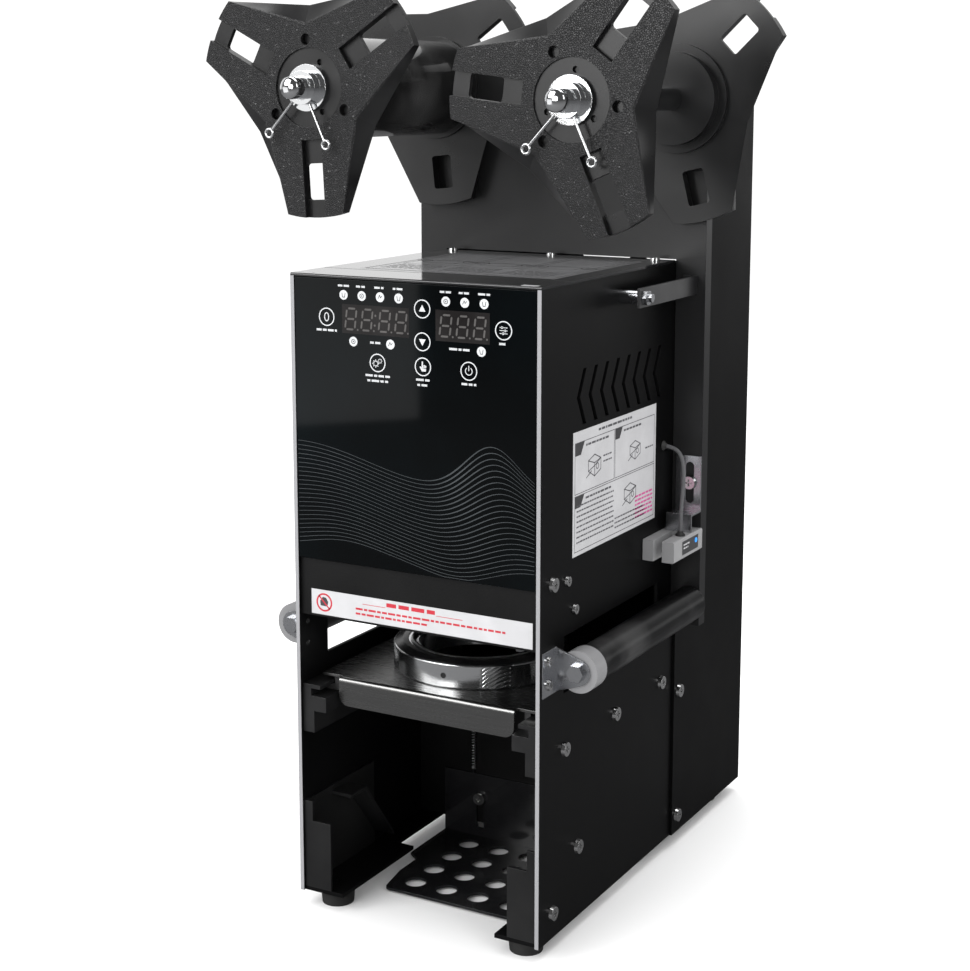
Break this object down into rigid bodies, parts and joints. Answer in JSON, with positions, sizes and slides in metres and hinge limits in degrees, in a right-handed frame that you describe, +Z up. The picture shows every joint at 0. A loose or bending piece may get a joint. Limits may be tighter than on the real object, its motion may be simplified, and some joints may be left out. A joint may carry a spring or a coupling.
{
  "type": "cup sealing machine",
  "caption": "Electric film sealer for drinking cups, with a sliding cup drawer, heated press, glass control panel and two film reels on a rear column.",
  "frame": {"origin": "on the floor, midway between the four feet", "axes": "+Z up, +X to the right seen from the front, +Y to the rear, so the cup drawer opens towards -Y"},
  "size_m": [0.3805, 0.3751, 0.68],
  "materials": {
    "black_steel": "satin black powder coat",
    "gloss_black_steel": "gloss black enamel",
    "grey_steel": "satin dark grey powder coat",
    "stainless": "brushed stainless",
    "zinc": "bright zinc plate",
    "chrome": "polished",
    "aluminium": "turned",
    "dark_anodised": "dark anodised",
    "ptfe_die": "non-stick coated",
    "bronze": "sintered bronze",
    "reel_plastic": "grained moulded plastic",
    "core_plastic": "gloss black tube",
    "roller_black": "black tube with grey end caps",
    "sensor_grey": "moulded grey",
    "cable_grey": "grey cable sheath",
    "rubber_black": "moulded rubber",
    "panel_glass": "dark printed glass",
    "circuit_green": "circuit board",
    "motor_steel": "plated motor can",
    "nylon_white": "natural nylon",
    "supply_case": "perforated aluminium case",
    "black_plastic": "moulded black plastic",
    "spring_steel": "drawn wire"
  },
  "bodies": {
    "frame": {"left_side_plate": "black_steel", "right_side_plate": "black_steel", "rear_column": "black_steel", "reel_panel": "grey_steel", "top_cover": "gloss_black_steel", "fascia": "black_steel", "front_glass": "panel_glass", "control_board": "circuit_green", "upper_deck": "zinc", "lower_deck": "zinc", "guide_rods": "chrome", "press_gearmotor": "motor_steel", "drawer_rails": "dark_anodised", "drawer_gearmotor": "motor_steel", "bulkhead": "black_steel", "front_jambs": "grey_steel", "feet": "rubber_black", "roller_brackets": "zinc", "roller_axles": "zinc", "film_sensor": "sensor_grey", "sensor_bracket": "zinc", "sensor_cable": "cable_grey", "brace_strips": "zinc", "brace_bolts": "zinc", "reel_bearings": "chrome", "take_up_gearmotor": "motor_steel", "power_supply": "supply_case", "mains_inlet": "black_plastic", "panel_screws": "stainless", "small_screws": "stainless", "return_springs": "spring_steel", "tray_springs": "spring_steel"},
    "press": {"press_carriage": "aluminium", "carriage_bushes": "bronze", "follower_pin": "chrome", "heater_block": "aluminium", "sealing_die": "ptfe_die", "cutter_ring": "stainless", "film_clamp_ring": "aluminium"},
    "follower": {"follower_roller": "chrome"},
    "cam": {"press_cam": "motor_steel"},
    "drawer": {"drawer_table": "stainless", "drawer_runners": "nylon_white", "drawer_rack": "motor_steel", "cup_ring": "aluminium", "ring_bevel": "dark_anodised"},
    "pinion": {"drawer_pinion": "bronze"},
    "cup_rest": {"cup_rest_tray": "gloss_black_steel"},
    "left_reel": {"left_front_disc": "reel_plastic", "left_rear_disc": "reel_plastic", "left_reel_shaft": "chrome", "left_reel_retainer": "chrome", "left_film_core": "core_plastic"},
    "right_reel": {"right_front_disc": "reel_plastic", "right_rear_disc": "reel_plastic", "right_reel_shaft": "chrome", "right_reel_retainer": "chrome"},
    "left_roller": {"left_guide_roller": "roller_black"},
    "right_roller": {"right_guide_roller": "roller_black"},
    "rocker": {"power_switch": "black_plastic"}
  },
  "joints": [
    {"name": "press_slide", "type": "slide", "parent": "frame", "child": "press", "axis": [0, 0, -1], "range_m": [0, 0.026], "stiffness_N_per_m": 700, "springref_m": -0.03, "deforming": ["return_springs"]},
    {"name": "cam_turn", "type": "hinge", "parent": "frame", "child": "cam", "pos_m": [0, -0.084, 0.3453], "axis": [0, -1, 0], "range_deg": [0, 170.5]},
    {"name": "follower_spin", "type": "hinge", "parent": "press", "child": "follower", "pos_m": [0, -0.084, 0.322], "axis": [0, 1, 0], "continuous": true},
    {"name": "drawer_slide", "type": "slide", "parent": "frame", "child": "drawer", "axis": [0, -1, 0], "range_m": [0, 0.15]},
    {"name": "pinion_turn", "type": "hinge", "parent": "frame", "child": "pinion", "pos_m": [0, 0.02, 0.14963], "axis": [1, 0, 0], "range_deg": [0, 573.2]},
    {"name": "cup_rest_height", "type": "slide", "parent": "frame", "child": "cup_rest", "axis": [0, 0, 1], "range_m": [0, 0.022], "deforming": ["tray_springs"]},
    {"name": "left_reel_spin", "type": "hinge", "parent": "frame", "child": "left_reel", "pos_m": [-0.1043, 0, 0.6024], "axis": [0, 1, 0], "continuous": true},
    {"name": "right_reel_spin", "type": "hinge", "parent": "frame", "child": "right_reel", "pos_m": [0.1043, 0, 0.5944], "axis": [0, 1, 0], "continuous": true},
    {"name": "left_roller_spin", "type": "hinge", "parent": "frame", "child": "left_roller", "pos_m": [-0.1175, 0, 0.209], "axis": [0, 1, 0], "continuous": true},
    {"name": "right_roller_spin", "type": "hinge", "parent": "frame", "child": "right_roller", "pos_m": [0.1175, 0, 0.209], "axis": [0, 1, 0], "continuous": true},
    {"name": "switch_rock", "type": "hinge", "parent": "frame", "child": "rocker", "pos_m": [0.06, 0.189, 0.117], "axis": [1, 0, 0], "range_deg": [-20, 0]}
  ],
  "couplings": [
    {"joint": "cam_turn", "follows": "press_slide", "rad_per_m": 114.12},
    {"joint": "pinion_turn", "follows": "drawer_slide", "rad_per_m": 66.667}
  ]
}
